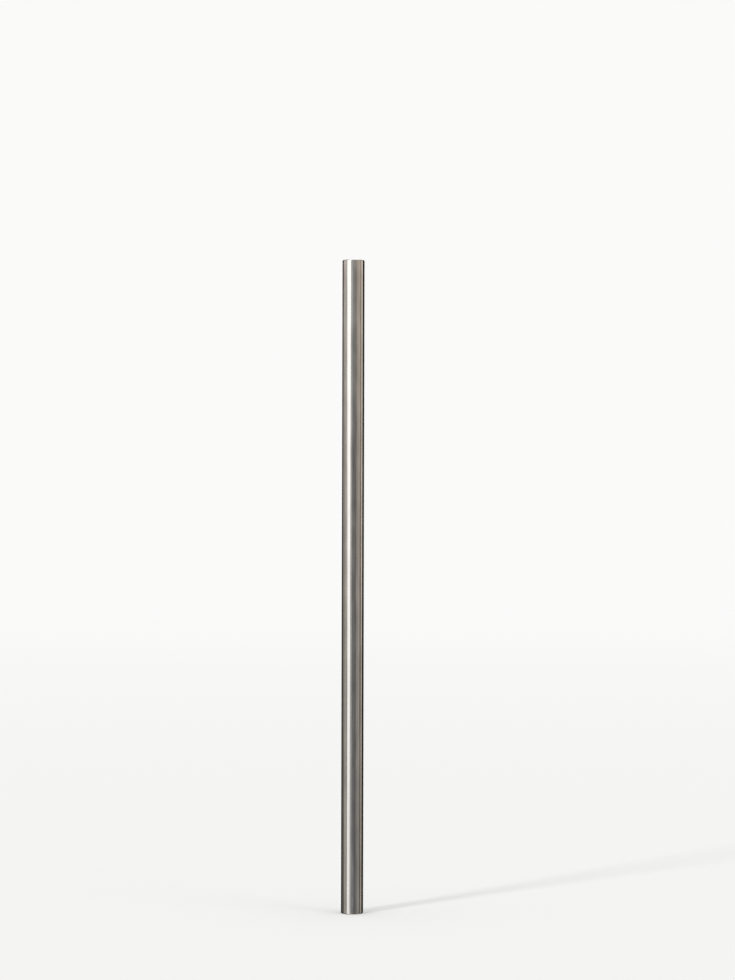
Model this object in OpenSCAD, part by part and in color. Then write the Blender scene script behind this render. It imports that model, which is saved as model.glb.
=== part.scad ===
// A straight drinking straw: one length of thin round steel tube, open right
// through, with the inner and outer edges of both ends rounded over.
// It stands on one end, along +Z. The origin is the middle of that end.

/* [Tube] */
// Overall length of the straw
straw_length = 175; // [120:1:300]
// Outside diameter of the tube
outside_diameter = 6; // [5:0.5:12]
// Thickness of the tube's wall
wall = 0.5; // [0.45:0.05:0.8]

/* [Lips] */
// Radius of the rounding on the outer edge of each end
outer_lip_radius = 0.28; // [0.05:0.01:0.3]
// Radius of the rounding on the inner edge of each end
inner_lip_radius = 0.12; // [0.05:0.01:0.14]

/* [Hidden] */

steel_colour = [0.74, 0.72, 0.69];
tube_sides = 96;
lip_sides = 48;
cut_margin = 1;

outer_radius = outside_diameter / 2;
bore_radius = outer_radius - wall;
half_length = straw_length / 2;

// What a rounding takes off a square corner. The corner's point is at the
// origin and its sides run back along -X and -Y.
module rounding_cut(radius) {
    difference() {
        translate([-radius, -radius]) square(radius + cut_margin);
        translate([-radius, -radius]) circle(r = radius, $fn = lip_sides);
    }
}

// Both roundings at the upper end of the wall's section.
module end_cuts() {
    translate([outer_radius, half_length]) rounding_cut(outer_lip_radius);
    translate([bore_radius, half_length]) mirror([1, 0]) rounding_cut(inner_lip_radius);
}

// The wall cut lengthwise, in the half plane that is turned into the tube.
module wall_section() {
    difference() {
        translate([bore_radius, -half_length]) square([wall, straw_length]);
        end_cuts();
        mirror([0, 1]) end_cuts();
    }
}

// The whole straw, standing on its end.
module straw() {
    color(steel_colour)
        translate([0, 0, half_length])
            rotate_extrude($fn = tube_sides) wall_section();
}

straw();
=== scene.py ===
"""Looks of a straight steel drinking straw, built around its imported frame.

The straw stands on one end in the middle of a pale floor. Sizes are in metres
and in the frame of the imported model, where +Z runs up along the tube. Headings
round the straw are in degrees from the camera's side, and grow to the right.
"""

import logging
import math
from collections.abc import Callable
from dataclasses import dataclass
from enum import Enum

import bmesh
import bpy
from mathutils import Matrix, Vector


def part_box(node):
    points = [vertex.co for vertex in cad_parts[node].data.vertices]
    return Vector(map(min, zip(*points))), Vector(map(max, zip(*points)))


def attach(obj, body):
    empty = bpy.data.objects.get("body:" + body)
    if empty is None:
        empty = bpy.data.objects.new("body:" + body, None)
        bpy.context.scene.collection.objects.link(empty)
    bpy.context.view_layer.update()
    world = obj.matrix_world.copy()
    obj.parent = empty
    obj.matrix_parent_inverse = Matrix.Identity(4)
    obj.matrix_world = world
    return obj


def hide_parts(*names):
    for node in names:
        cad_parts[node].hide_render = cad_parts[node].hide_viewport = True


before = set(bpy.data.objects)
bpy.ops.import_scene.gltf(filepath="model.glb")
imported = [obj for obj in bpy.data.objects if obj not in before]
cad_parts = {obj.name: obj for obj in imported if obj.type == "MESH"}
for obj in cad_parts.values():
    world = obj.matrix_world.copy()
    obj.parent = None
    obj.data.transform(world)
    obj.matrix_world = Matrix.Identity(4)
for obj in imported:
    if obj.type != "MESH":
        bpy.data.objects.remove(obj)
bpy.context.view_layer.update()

log = logging.getLogger("straw")

Colour = tuple[float, float, float]
Place = tuple[float, float, float]
CAD_NODE = "straw"
BODY = "root"

# Heights that differ by less than a hair, and radii that differ by less than
# the rim's slack, count as the same. Both are in metres.
HAIR = 2e-6
RIM_SLACK = 10 * HAIR

# A face is an end face where its normal rises or falls by more than this.
END_FACE_RISE = 0.9

# The profile at which a bevel is a round arc.
ROUND_PROFILE = 0.5


class Zone(Enum):
    """The parts of the steel that have a finish of their own."""

    OUTSIDE = 0
    LIP = 1
    BORE = 2


class Element(Enum):
    """What a selection in edit mode is made of."""

    FACE = "faces"
    EDGE = "edges"


def opaque(colour: Colour) -> tuple[float, float, float, float]:
    """Gives a colour with full opacity."""
    return (*colour, 1.0)


class NodeSheet:
    """A node tree that is filled one node at a time."""

    NOISE_DETAIL = 2.0
    NOISE_ROUGHNESS = 0.5
    NOISE_LOW = 0.25
    NOISE_HIGH = 0.75

    def __init__(self, tree: bpy.types.NodeTree) -> None:
        """Keeps the tree and empties it.

        Args:
            tree: The tree of a material, a world or a node group.
        """
        self.tree = tree
        self.tree.nodes.clear()

    def add(self, kind: str, **values: object) -> bpy.types.Node:
        """Adds a node and sets its sockets and properties.

        Args:
            kind: The node's type name in Blender.
            **values: A property's name, or a socket's name with underscores
                for blanks, with the value to give it.

        Returns:
            The new node.
        """
        node = self.tree.nodes.new(kind)
        for name, value in values.items():
            if hasattr(node, name):
                setattr(node, name, value)
            else:
                node.inputs[name.replace("_", " ")].default_value = value
        return node

    def link(self, source: bpy.types.NodeSocket, target: bpy.types.NodeSocket) -> None:
        """Joins an output to an input."""
        self.tree.links.new(source, target)

    def maths(
        self, operation: str, *operands: bpy.types.NodeSocket | float
    ) -> bpy.types.NodeSocket:
        """Adds a Math node.

        Args:
            operation: The Math node's operation.
            *operands: Its operands, each a socket or a plain number.

        Returns:
            The result's socket.
        """
        node = self.add("ShaderNodeMath", operation=operation)
        for operand, target in zip(operands, node.inputs):
            if isinstance(operand, bpy.types.NodeSocket):
                self.link(operand, target)
            else:
                target.default_value = operand
        return node.outputs[0]

    def noise(
        self, place: bpy.types.NodeSocket, grain: tuple[float, float]
    ) -> bpy.types.NodeSocket:
        """Adds noise, which may be drawn out upwards.

        Args:
            place: The socket with the place on the piece.
            grain: The grain's number per metre sideways, and how much of that
                it has upwards.

        Returns:
            The socket of a value that lies around zero, about one each way.
        """
        across, along = grain
        drawn_out = self.add("ShaderNodeMapping", vector_type="POINT")
        drawn_out.inputs["Scale"].default_value = (across, across, across * along)
        self.link(place, drawn_out.inputs["Vector"])
        cloud = self.add(
            "ShaderNodeTexNoise",
            Scale=1.0,
            Detail=self.NOISE_DETAIL,
            Roughness=self.NOISE_ROUGHNESS,
        )
        self.link(drawn_out.outputs[0], cloud.inputs["Vector"])
        spread = self.add(
            "ShaderNodeMapRange",
            clamp=False,
            From_Min=self.NOISE_LOW,
            From_Max=self.NOISE_HIGH,
            To_Min=-1.0,
            To_Max=1.0,
        )
        self.link(cloud.outputs["Fac"], spread.inputs["Value"])
        return spread.outputs["Result"]


class DrawnSteel:
    """The node group for steel that was drawn through a die.

    It puts out fine lines along the tube, and the slow waves that a thin wall
    keeps. Each grain below is its number per metre across the tube, and how
    much of that it has along the tube.
    """

    NAME = "drawn_steel"
    INPUTS = (
        ("Place", "NodeSocketVector"),
        ("Colour", "NodeSocketColor"),
        ("Roughness", "NodeSocketFloat"),
        ("Line Shade", "NodeSocketFloat"),
        ("Line Roughness", "NodeSocketFloat"),
        ("Line Height", "NodeSocketFloat"),
        ("Wave Height", "NodeSocketFloat"),
    )
    OUTPUTS = (
        ("Colour", "NodeSocketColor"),
        ("Roughness", "NodeSocketFloat"),
        ("Height", "NodeSocketFloat"),
    )
    FINE_LINES = (9000.0, 0.002)
    BROAD_LINES = (1500.0, 0.015)
    WAVES = (260.0, 0.11)

    @classmethod
    def group(cls) -> bpy.types.NodeTree:
        """Gives the group, which is built at its first use.

        Returns:
            The shader node group.
        """
        found = bpy.data.node_groups.get(cls.NAME)
        return found if found else cls.build()

    @classmethod
    def build(cls) -> bpy.types.NodeTree:
        """Builds the group.

        Returns:
            The new shader node group.
        """
        tree = bpy.data.node_groups.new(cls.NAME, "ShaderNodeTree")
        for name, kind in cls.INPUTS:
            tree.interface.new_socket(name=name, in_out="INPUT", socket_type=kind)
        for name, kind in cls.OUTPUTS:
            tree.interface.new_socket(name=name, in_out="OUTPUT", socket_type=kind)
        sheet = NodeSheet(tree)
        given = sheet.add("NodeGroupInput").outputs
        result = sheet.add("NodeGroupOutput").inputs
        fine = sheet.noise(given["Place"], cls.FINE_LINES)
        broad = sheet.noise(given["Place"], cls.BROAD_LINES)
        waves = sheet.noise(given["Place"], cls.WAVES)

        mean = sheet.maths("MULTIPLY", sheet.maths("ADD", fine, broad), 0.5)
        tone = sheet.maths("MULTIPLY_ADD", mean, given["Line Shade"], 1.0)
        tint = sheet.add("ShaderNodeVectorMath", operation="SCALE")
        sheet.link(given["Colour"], tint.inputs[0])
        sheet.link(tone, tint.inputs["Scale"])
        sheet.link(tint.outputs[0], result["Colour"])

        rough = sheet.maths("MULTIPLY_ADD", broad, given["Line Roughness"], given["Roughness"])
        sheet.link(rough, result["Roughness"])

        wall = sheet.maths("MULTIPLY", waves, given["Wave Height"])
        height = sheet.maths("MULTIPLY_ADD", fine, given["Line Height"], wall)
        sheet.link(height, result["Height"])
        return tree


@dataclass(frozen=True)
class SteelFinish:
    """How one zone of the steel is finished.

    Attributes:
        name: The material's name.
        colour: The steel's own colour.
        roughness: How soft its reflections are, from 0 to 1.
        line_shade: How much the drawn lines change the colour.
        line_roughness: How much they change the roughness.
        line_height: How high the finest of them stand, in metres.
        wave_height: How high the wall's slow waves stand, in metres.
    """

    name: str
    colour: Colour
    roughness: float
    line_shade: float
    line_roughness: float
    line_height: float
    wave_height: float

    def material(self) -> bpy.types.Material:
        """Makes the finish.

        Returns:
            The new material.
        """
        made = bpy.data.materials.new(self.name)
        made.use_nodes = True
        sheet = NodeSheet(made.node_tree)
        place = sheet.add("ShaderNodeTexCoord")
        drawn = sheet.add("ShaderNodeGroup")
        drawn.node_tree = DrawnSteel.group()
        drawn.inputs["Colour"].default_value = opaque(self.colour)
        drawn.inputs["Roughness"].default_value = self.roughness
        drawn.inputs["Line Shade"].default_value = self.line_shade
        drawn.inputs["Line Roughness"].default_value = self.line_roughness
        drawn.inputs["Line Height"].default_value = self.line_height
        drawn.inputs["Wave Height"].default_value = self.wave_height
        sheet.link(place.outputs["Object"], drawn.inputs["Place"])
        relief = sheet.add("ShaderNodeBump", Strength=1.0, Distance=1.0)
        sheet.link(drawn.outputs["Height"], relief.inputs["Height"])
        steel = sheet.add("ShaderNodeBsdfPrincipled", Metallic=1.0)
        sheet.link(drawn.outputs["Colour"], steel.inputs["Base Color"])
        sheet.link(drawn.outputs["Roughness"], steel.inputs["Roughness"])
        sheet.link(relief.outputs["Normal"], steel.inputs["Normal"])
        out = sheet.add("ShaderNodeOutputMaterial")
        sheet.link(steel.outputs[0], out.inputs["Surface"])
        return made


FINISHES = {
    Zone.OUTSIDE: SteelFinish(
        name="polished_drawn_steel",
        colour=(0.74, 0.72, 0.69),
        roughness=0.12,
        line_shade=0.1,
        line_roughness=0.03,
        line_height=1.5e-7,
        wave_height=2.5e-6,
    ),
    Zone.LIP: SteelFinish(
        name="burnished_lip_steel",
        colour=(0.78, 0.76, 0.73),
        roughness=0.13,
        line_shade=0.03,
        line_roughness=0.02,
        line_height=0.0,
        wave_height=1.0e-6,
    ),
    Zone.BORE: SteelFinish(
        name="satin_bore_steel",
        colour=(0.66, 0.64, 0.61),
        roughness=0.36,
        line_shade=0.12,
        line_roughness=0.05,
        line_height=4.0e-7,
        wave_height=2.5e-6,
    ),
}


def choose(
    mesh: bpy.types.Mesh,
    kind: Element,
    test: Callable[[bmesh.types.BMFace | bmesh.types.BMEdge], bool],
) -> None:
    """Selects, in edit mode, the faces or edges that pass a test and no others.

    Args:
        mesh: The mesh that is being edited.
        kind: Whether faces or edges are meant.
        test: Says whether one of them is wanted.
    """
    bpy.ops.mesh.select_mode(type=kind.name)
    bpy.ops.mesh.select_all(action="DESELECT")
    shape = bmesh.from_edit_mesh(mesh)
    for element in getattr(shape, kind.value):
        element.select_set(test(element))
    bmesh.update_edit_mesh(mesh)


@dataclass
class Straw:
    """The straw: one tube, open right through, with rounded lips.

    Attributes:
        outer_radius: The tube's radius outside, in metres.
        length: Its length, in metres.
        wall: The wall's thickness, in metres.
        outer_lip: The rounding of both outer rims, in metres.
        inner_lip: The rounding of both inner rims, in metres.
        sides: The number of sides round the tube.
        outer_lip_steps: The number of faces across an outer rounding.
        inner_lip_steps: The number of faces across an inner rounding.
        rings: The number of cuts that divide the wall along its length.
    """

    outer_radius: float
    length: float
    wall: float = 0.0005
    outer_lip: float = 0.00028
    inner_lip: float = 0.00012
    sides: int = 160
    outer_lip_steps: int = 8
    inner_lip_steps: int = 5
    rings: int = 48

    @property
    def bore_radius(self) -> float:
        """The radius of the hole through the tube."""
        return self.outer_radius - self.wall

    def is_rim(self, edge: bmesh.types.BMEdge, radius: float) -> bool:
        """Says whether an edge is on the rim of one of the ends.

        Args:
            edge: The edge.
            radius: The rim's radius.

        Returns:
            True if both its corners are on the same end and at that radius.
        """
        first, second = (corner.co for corner in edge.verts)
        on_one_end = abs(first.z - second.z) < HAIR and min(first.z, self.length - first.z) < HAIR
        return on_one_end and all(
            abs(corner.co.xy.length - radius) < RIM_SLACK for corner in edge.verts
        )

    def zone_of(self, face: bmesh.types.BMFace) -> Zone:
        """Says which finish a face wears.

        Args:
            face: A face of the finished tube.

        Returns:
            Its zone.
        """
        centre = face.calc_center_median()
        depth = min(centre.z, self.length - centre.z)
        if centre.xy.length < self.bore_radius + HAIR and depth > self.inner_lip:
            return Zone.BORE
        return Zone.LIP if depth < self.outer_lip else Zone.OUTSIDE

    def open_bore(self, mesh: bpy.types.Mesh) -> None:
        """Insets both ends by the wall and bridges them into an open bore.

        Args:
            mesh: The mesh that is being edited.
        """
        choose(mesh, Element.FACE, lambda face: abs(face.normal.z) > END_FACE_RISE)
        bpy.ops.mesh.inset(thickness=self.wall, use_even_offset=True)
        bpy.ops.mesh.delete(type="FACE")
        choose(mesh, Element.EDGE, lambda edge: edge.is_boundary)
        bpy.ops.mesh.bridge_edge_loops()

    def round_rims(self, mesh: bpy.types.Mesh, radius: float, rounding: float, steps: int) -> None:
        """Rounds the two rims, one at each end, that have one radius.

        Args:
            mesh: The mesh that is being edited.
            radius: The rims' radius.
            rounding: How far the rounding reaches from the rim.
            steps: The number of faces across it.
        """
        choose(mesh, Element.EDGE, lambda edge: self.is_rim(edge, radius))
        bpy.ops.mesh.bevel(
            offset=rounding,
            offset_type="OFFSET",
            segments=steps,
            profile=ROUND_PROFILE,
            affect="EDGES",
            clamp_overlap=False,
        )

    def add_rings(self, mesh: bpy.types.Mesh) -> None:
        """Divides the long faces of the wall into rings."""
        choose(mesh, Element.EDGE, lambda edge: edge.calc_length() > self.length / 2)
        bpy.ops.mesh.subdivide(number_cuts=self.rings)

    def heal(self) -> None:
        """Joins loose corners and points every face outwards."""
        bpy.ops.mesh.select_mode(type="VERT")
        bpy.ops.mesh.select_all(action="SELECT")
        bpy.ops.mesh.remove_doubles(threshold=HAIR / 2)
        bpy.ops.mesh.normals_make_consistent(inside=False)

    def build(self) -> bpy.types.Object:
        """Models the tube.

        Returns:
            The finished piece, with no material yet.
        """
        bpy.ops.object.select_all(action="DESELECT")
        bpy.ops.mesh.primitive_cylinder_add(
            vertices=self.sides,
            radius=self.outer_radius,
            depth=self.length,
            end_fill_type="NGON",
            location=(0.0, 0.0, self.length / 2),
        )
        piece = bpy.context.object
        piece.name = piece.data.name = "straw_tube"
        bpy.ops.object.transform_apply(location=True, rotation=True, scale=True)
        bpy.ops.object.mode_set(mode="EDIT")
        self.open_bore(piece.data)
        self.round_rims(piece.data, self.outer_radius, self.outer_lip, self.outer_lip_steps)
        self.round_rims(piece.data, self.bore_radius, self.inner_lip, self.inner_lip_steps)
        self.add_rings(piece.data)
        self.heal()
        bpy.ops.object.mode_set(mode="OBJECT")
        bpy.ops.object.shade_smooth()
        bpy.ops.object.modifier_add(type="WEIGHTED_NORMAL")
        bpy.ops.object.modifier_apply(modifier=piece.modifiers[-1].name)
        return piece

    def dress(self, piece: bpy.types.Object) -> None:
        """Gives each zone of the piece its finish.

        Args:
            piece: The tube that build() made.
        """
        for zone in Zone:
            piece.data.materials.append(FINISHES[zone].material())
        bpy.ops.object.mode_set(mode="EDIT")
        for zone in Zone:
            choose(piece.data, Element.FACE, lambda face: self.zone_of(face) is zone)
            piece.active_material_index = zone.value
            bpy.ops.object.material_slot_assign()
        bpy.ops.object.mode_set(mode="OBJECT")

    def make(self) -> bpy.types.Object:
        """Builds and dresses the straw, and sets it in the frame.

        Returns:
            The finished piece.
        """
        piece = self.build()
        self.dress(piece)
        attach(piece, BODY)
        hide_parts(CAD_NODE)
        log.info("%s: %d faces, %d finishes", piece.name, len(piece.data.polygons), len(Zone))
        return piece


class Tint(Enum):
    """The colours that the standing cards come in."""

    COOL = (0.98, 0.97, 1.0)
    NEUTRAL = (1.0, 0.99, 0.98)
    CREAM = (1.0, 0.94, 0.88)
    BUFF = (1.0, 0.90, 0.79)
    WARM = (1.0, 0.87, 0.76)


@dataclass(frozen=True)
class Card:
    """A plain standing card or soft light that the steel mirrors.

    The camera doesn't see it, and it lights nothing else. Its light and tint
    go evenly from those of the foot to those of the top, and the light is
    slightly uneven.

    Attributes:
        name: The card's name.
        first: The heading of its left edge, in degrees.
        last: The heading of its right edge, in degrees.
        low: Its light at the foot of the blend.
        high: Its light at the top of the blend.
        foot_tint: Its colour at the foot of the blend.
        top_tint: Its colour at the top of the blend.
        end_lift: The share by which its light grows at both ends of the blend.
        reach: How far its upright edges stand from the straw's axis, in metres.
        foot: The height of its lower edge, in metres.
        top: The height of its upper edge, in metres.
        blend_foot: The height of the blend's foot, in metres.
        blend_top: The height of the blend's top, in metres.
        unevenness: The share by which its light goes up and down.
    """

    BLOTS = (136.0, 1.0)

    name: str
    first: float
    last: float
    low: float
    high: float
    foot_tint: Tint
    top_tint: Tint
    end_lift: float = 0.0
    reach: float = 0.012
    foot: float = -0.4
    top: float = 0.2
    blend_foot: float = 0.0
    blend_top: float = 0.175
    unevenness: float = 0.16

    def stand(self) -> bpy.types.Object:
        """Stands the card round the straw.

        Returns:
            The card.
        """
        middle = math.radians((self.first + self.last) / 2)
        half = math.radians(self.last - self.first) / 2
        away = self.reach * math.cos(half)
        bpy.ops.object.select_all(action="DESELECT")
        bpy.ops.mesh.primitive_plane_add(
            size=1.0,
            location=(away * math.sin(middle), -away * math.cos(middle), (self.foot + self.top) / 2),
            rotation=(math.pi / 2, 0.0, middle),
        )
        card = bpy.context.object
        card.name = card.data.name = self.name
        card.scale = (2 * self.reach * math.sin(half), self.top - self.foot, 1.0)
        bpy.ops.object.transform_apply(location=True, rotation=True, scale=True)
        card.data.materials.append(self.material())
        card.visible_camera = False
        card.visible_diffuse = False
        card.visible_transmission = False
        card.visible_volume_scatter = False
        card.visible_shadow = False
        log.info("%s: from %.0f to %.0f degrees", card.name, self.first, self.last)
        return card

    def material(self) -> bpy.types.Material:
        """Makes the card's own light.

        Returns:
            The new material.
        """
        made = bpy.data.materials.new(self.name)
        made.use_nodes = True
        sheet = NodeSheet(made.node_tree)
        place = sheet.add("ShaderNodeTexCoord")
        axes = sheet.add("ShaderNodeSeparateXYZ")
        sheet.link(place.outputs["Object"], axes.inputs[0])
        rise = sheet.add("ShaderNodeMapRange", From_Min=self.blend_foot, From_Max=self.blend_top)
        sheet.link(axes.outputs["Z"], rise.inputs["Value"])
        height = rise.outputs["Result"]
        level = sheet.maths("MULTIPLY_ADD", height, self.high - self.low, self.low)
        from_middle = sheet.maths("MULTIPLY_ADD", height, 2.0, -1.0)
        near_end = sheet.maths("POWER", sheet.maths("ABSOLUTE", from_middle), 4.0)
        lift = sheet.maths("MULTIPLY_ADD", near_end, self.end_lift, 1.0)
        blots = sheet.noise(place.outputs["Object"], self.BLOTS)
        uneven = sheet.maths("MULTIPLY_ADD", blots, self.unevenness, 1.0)
        strength = sheet.maths("MULTIPLY", sheet.maths("MULTIPLY", level, lift), uneven)
        glow = sheet.add("ShaderNodeEmission", Color=opaque(self.foot_tint.value))
        sheet.link(strength, glow.inputs["Strength"])
        if self.top_tint is not self.foot_tint:
            blend = sheet.add("ShaderNodeValToRGB")
            for stop, tint in zip(blend.color_ramp.elements, (self.foot_tint, self.top_tint)):
                stop.color = opaque(tint.value)
            sheet.link(height, blend.inputs["Fac"])
            sheet.link(blend.outputs["Color"], glow.inputs["Color"])
        out = sheet.add("ShaderNodeOutputMaterial")
        sheet.link(glow.outputs[0], out.inputs["Surface"])
        return made


@dataclass(frozen=True)
class Lamp:
    """A distant soft lamp that is aimed at the straw.

    Attributes:
        name: The lamp's name.
        place: The point that it shines from.
        spread: How wide it looks from the straw, in degrees.
        strength: Its strength.
    """

    name: str
    place: Place
    spread: float
    strength: float

    def hang(self, target: Vector) -> bpy.types.Object:
        """Hangs the lamp.

        Args:
            target: The point that it is aimed at.

        Returns:
            The lamp.
        """
        aim = (target - Vector(self.place)).to_track_quat("-Z", "Y").to_euler()
        bpy.ops.object.light_add(type="SUN", location=self.place, rotation=aim)
        lamp = bpy.context.object
        lamp.name = lamp.data.name = self.name
        lamp.data.angle = math.radians(self.spread)
        lamp.data.energy = self.strength
        log.info("%s: %.0f degrees wide, strength %.2f", lamp.name, self.spread, self.strength)
        return lamp


@dataclass
class Studio:
    """The floor, the pale surround, the lamps and the standing cards.

    Attributes:
        pale: The colour of the surround.
        floor_colour: The floor's colour, which the lamps bring near to it.
        floor_radius: The floor's radius, in metres.
        floor_sides: The number of its sides.
        floor_near: Where it starts to fade into the surround, in metres.
        floor_far: Where it has faded, in metres.
        world_level: The level at which the surround lights the floor.
        lamps: The lamps.
        cards: The cards, from the left round to the back.
    """

    pale: Colour = (0.955, 0.955, 0.95)
    floor_colour: Colour = (0.93, 0.93, 0.925)
    floor_radius: float = 4.0
    floor_sides: int = 96
    floor_near: float = 0.15
    floor_far: float = 2.0
    world_level: float = 0.83
    lamps: tuple[Lamp, ...] = (
        Lamp("key_lamp", (-0.75, -0.85, 1.05), 7.0, 0.65),
        Lamp("fill_lamp", (1.0, -0.7, 0.9), 30.0, 0.28),
    )
    cards: tuple[Card, ...] = (
        Card("black_card_left", -135.0, -110.0, 0.01, 0.03, Tint.WARM, Tint.WARM),
        Card("dim_card_left", -110.0, -84.0, 0.104, 0.43, Tint.BUFF, Tint.CREAM, end_lift=0.25),
        Card("grey_card_left", -84.0, -58.5, 0.325, 0.49, Tint.CREAM, Tint.CREAM, end_lift=0.2),
        Card(
            "widening_card_left", -58.5, -49.1, 0.33, 1.50, Tint.CREAM, Tint.NEUTRAL,
            blend_foot=0.06, unevenness=0.05,
        ),
        Card(
            "strip_light_left", -49.1, -23.5, 1.04, 1.45, Tint.NEUTRAL, Tint.NEUTRAL, unevenness=0.05
        ),
        Card("grey_card_front_left", -23.5, -8.0, 0.39, 0.45, Tint.COOL, Tint.NEUTRAL, end_lift=0.1),
        Card(
            "dark_card_front", -8.0, 11.0, 0.16, 0.21, Tint.COOL, Tint.NEUTRAL,
            end_lift=0.5, unevenness=0.26,
        ),
        Card(
            "dark_card_front_right", 11.0, 31.0, 0.105, 0.225, Tint.NEUTRAL, Tint.CREAM,
            end_lift=0.3, unevenness=0.26,
        ),
        Card("grey_card_front_right", 31.0, 50.0, 0.20, 0.43, Tint.NEUTRAL, Tint.WARM),
        Card("pale_card_right", 50.0, 65.5, 0.31, 0.50, Tint.CREAM, Tint.WARM),
        Card("dim_card_right", 65.5, 86.0, 0.13, 0.28, Tint.BUFF, Tint.WARM),
        Card(
            "short_card_right", 76.5, 86.0, 0.24, 0.62, Tint.WARM, Tint.WARM,
            reach=0.0116, foot=0.13, blend_foot=0.13,
        ),
        Card("cream_card_right", 86.0, 95.0, 0.54, 0.98, Tint.BUFF, Tint.BUFF),
        Card("fading_card_right", 95.0, 101.0, 0.22, 0.39, Tint.BUFF, Tint.BUFF),
        Card("black_card_right", 101.0, 135.0, 0.01, 0.02, Tint.WARM, Tint.WARM),
        Card("grey_card_back_right", 135.0, 155.0, 0.22, 0.40, Tint.NEUTRAL, Tint.CREAM),
        Card(
            "strip_light_back", 155.0, 184.0, 0.92, 1.40, Tint.NEUTRAL, Tint.NEUTRAL, unevenness=0.05
        ),
        Card("grey_card_back", 184.0, 204.0, 0.36, 0.46, Tint.COOL, Tint.NEUTRAL),
        Card("dark_card_back_left", 204.0, 225.0, 0.13, 0.26, Tint.NEUTRAL, Tint.CREAM),
    )

    def lay_floor(self) -> bpy.types.Object:
        """Lays the pale floor, which fades into the surround far away.

        Returns:
            The floor.
        """
        bpy.ops.object.select_all(action="DESELECT")
        bpy.ops.mesh.primitive_circle_add(
            vertices=self.floor_sides,
            radius=self.floor_radius,
            fill_type="NGON",
            location=(0.0, 0.0, 0.0),
        )
        floor = bpy.context.object
        floor.name = floor.data.name = "floor"
        made = bpy.data.materials.new("pale_floor")
        made.use_nodes = True
        sheet = NodeSheet(made.node_tree)
        place = sheet.add("ShaderNodeTexCoord")
        distance = sheet.add("ShaderNodeVectorMath", operation="LENGTH")
        sheet.link(place.outputs["Object"], distance.inputs[0])
        fade = sheet.add(
            "ShaderNodeMapRange",
            interpolation_type="SMOOTHSTEP",
            From_Min=self.floor_near,
            From_Max=self.floor_far,
        )
        sheet.link(distance.outputs["Value"], fade.inputs["Value"])
        matt = sheet.add("ShaderNodeBsdfDiffuse", Color=opaque(self.floor_colour))
        glow = sheet.add("ShaderNodeEmission", Color=opaque(self.pale), Strength=1.0)
        blend = sheet.add("ShaderNodeMixShader")
        sheet.link(fade.outputs["Result"], blend.inputs[0])
        sheet.link(matt.outputs[0], blend.inputs[1])
        sheet.link(glow.outputs[0], blend.inputs[2])
        out = sheet.add("ShaderNodeOutputMaterial")
        sheet.link(blend.outputs[0], out.inputs["Surface"])
        floor.data.materials.append(made)
        floor.visible_glossy = False
        return floor

    def surround(self) -> bpy.types.World:
        """Makes the surround: pale to the camera and in the steel, and a plain
        level of light on everything else.

        Returns:
            The scene's world.
        """
        world = bpy.data.worlds.new("pale_surround")
        world.use_nodes = True
        sheet = NodeSheet(world.node_tree)
        path = sheet.add("ShaderNodeLightPath")
        seen = sheet.maths("MAXIMUM", path.outputs["Is Camera Ray"], path.outputs["Is Glossy Ray"])
        seen = sheet.maths("MAXIMUM", seen, path.outputs["Is Transmission Ray"])
        colour = opaque(self.pale)
        shown = sheet.add("ShaderNodeBackground", Color=colour, Strength=1.0)
        light = sheet.add("ShaderNodeBackground", Color=colour, Strength=self.world_level)
        blend = sheet.add("ShaderNodeMixShader")
        sheet.link(seen, blend.inputs[0])
        sheet.link(light.outputs[0], blend.inputs[1])
        sheet.link(shown.outputs[0], blend.inputs[2])
        out = sheet.add("ShaderNodeOutputWorld")
        sheet.link(blend.outputs[0], out.inputs["Surface"])
        bpy.context.scene.world = world
        return world

    def build(self, target: Vector) -> None:
        """Sets the whole studio up.

        Args:
            target: The point that the lamps are aimed at.
        """
        self.lay_floor()
        self.surround()
        for lamp in self.lamps:
            lamp.hang(target)
        for card in self.cards:
            card.stand()
        bpy.context.scene.view_settings.view_transform = "Standard"


@dataclass(frozen=True)
class PhotoCamera:
    """A level camera that frames the straw as the photograph does.

    Attributes:
        distance: How far it stands from the straw's axis, in metres.
        picture_height: The height that the picture spans there, in metres.
        right: How far it stands to the right of the axis, in metres.
        above: Its height above the floor, in metres.
        roll: Its turn about its line of sight, in degrees.
        sensor: The size of its sensor, in millimetres.
        nearest: The nearest distance that it sees, in metres.
        farthest: The farthest distance that it sees, in metres.
    """

    distance: float = 0.8
    picture_height: float = 0.26265
    right: float = 0.00387
    above: float = 0.1134
    roll: float = -0.14
    sensor: float = 36.0
    nearest: float = 0.05
    farthest: float = 30.0

    def place(self) -> bpy.types.Object:
        """Places the camera and makes it the scene's own.

        Returns:
            The camera.
        """
        bpy.ops.object.camera_add(
            location=(self.right, -self.distance, self.above),
            rotation=(math.pi / 2, math.radians(self.roll), 0.0),
        )
        camera = bpy.context.object
        camera.name = camera.data.name = "photo_camera"
        camera.data.sensor_width = self.sensor
        camera.data.lens = self.sensor * self.distance / self.picture_height
        camera.data.clip_start = self.nearest
        camera.data.clip_end = self.farthest
        bpy.context.scene.camera = camera
        return camera


def main() -> None:
    """Builds the straw to the imported part's sizes, then the studio and the camera."""
    logging.basicConfig(level=logging.INFO, format="%(name)s %(message)s")
    low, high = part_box(CAD_NODE)
    straw = Straw(outer_radius=min(high.x, high.y), length=high.z - low.z)
    straw.make()
    Studio().build(Vector((0.0, 0.0, straw.length / 2)))
    PhotoCamera().place()


if __name__ == "__main__":
    main()
